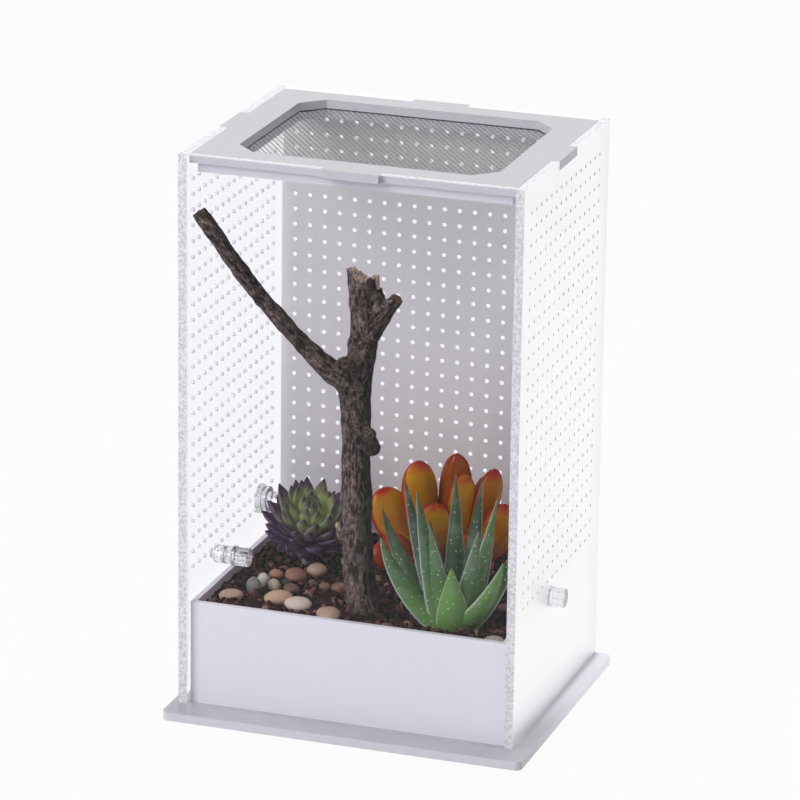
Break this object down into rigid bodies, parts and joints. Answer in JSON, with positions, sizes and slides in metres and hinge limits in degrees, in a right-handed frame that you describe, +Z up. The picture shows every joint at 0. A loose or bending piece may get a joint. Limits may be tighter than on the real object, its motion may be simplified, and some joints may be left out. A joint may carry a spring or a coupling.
{
  "type": "pet keeper",
  "caption": "Tall clear-walled pet keeper with perforated walls, a planted tray and a lift-off lid with a mesh window.",
  "frame": {"origin": "middle of the four walls, on the underside of the base plate", "axes": "+Z up, +X towards the right wall, -Y towards the clear front panel"},
  "size_m": [0.2172, 0.177, 0.329],
  "materials": {
    "clear_acrylic": "clear polished acrylic sheet",
    "base_acrylic": "polished translucent acrylic sheet",
    "white_acrylic": "opaque white acrylic sheet",
    "frosted_acrylic": "pale frosted acrylic sheet",
    "steel_mesh": "fine woven stainless mesh",
    "clear_fitting": "clear moulded plastic",
    "soil": "loose damp coir substrate",
    "stones": "worn river pebbles",
    "bark": "dry rough bark",
    "purple_leaf": "soft moulded artificial leaf",
    "orange_leaf": "glossy moulded artificial leaf",
    "aloe_leaf": "soft moulded artificial leaf"
  },
  "bodies": {
    "housing": {"base_plate": "base_acrylic", "left_wall": "clear_acrylic", "right_wall": "clear_acrylic", "back_wall": "white_acrylic", "front_panel": "clear_acrylic", "tray_floor": "white_acrylic", "tray_front": "white_acrylic", "tray_back": "white_acrylic", "tray_left_side": "white_acrylic", "tray_right_side": "white_acrylic", "left_spacer": "clear_fitting", "port_collar": "clear_fitting", "substrate": "soil", "pebbles": "stones", "branch": "bark", "succulent_purple": "purple_leaf", "succulent_orange": "orange_leaf", "aloe": "aloe_leaf"},
    "lid": {"lid_plate": "frosted_acrylic", "lid_mesh": "steel_mesh", "lid_retainer": "frosted_acrylic"},
    "left_screw": {"left_thumb_screw": "clear_fitting"},
    "left_screw_nut": {"left_nut": "clear_fitting"},
    "right_screw": {"right_thumb_screw": "clear_fitting"},
    "right_screw_nut": {"right_nut": "clear_fitting"},
    "plug": {"port_plug": "clear_fitting"}
  },
  "joints": [
    {"name": "lid_lift", "type": "slide", "parent": "housing", "child": "lid", "axis": [0, 0, 1], "range_m": [0, 0.06]},
    {"name": "left_screw_turn", "type": "hinge", "parent": "housing", "child": "left_screw", "pos_m": [-0.095, -0.016, 0.074], "axis": [1, 0, 0], "range_deg": [0, 1080]},
    {"name": "left_nut_back_off", "type": "slide", "parent": "left_screw", "child": "left_screw_nut", "axis": [-1, 0, 0], "range_m": [0, 0.003]},
    {"name": "right_screw_turn", "type": "hinge", "parent": "housing", "child": "right_screw", "pos_m": [0.095, -0.016, 0.074], "axis": [1, 0, 0], "range_deg": [0, 1080]},
    {"name": "right_nut_back_off", "type": "slide", "parent": "right_screw", "child": "right_screw_nut", "axis": [-1, 0, 0], "range_m": [0, 0.003]},
    {"name": "plug_pull", "type": "slide", "parent": "housing", "child": "plug", "axis": [-1, 0, 0], "range_m": [0, 0.016]}
  ]
}
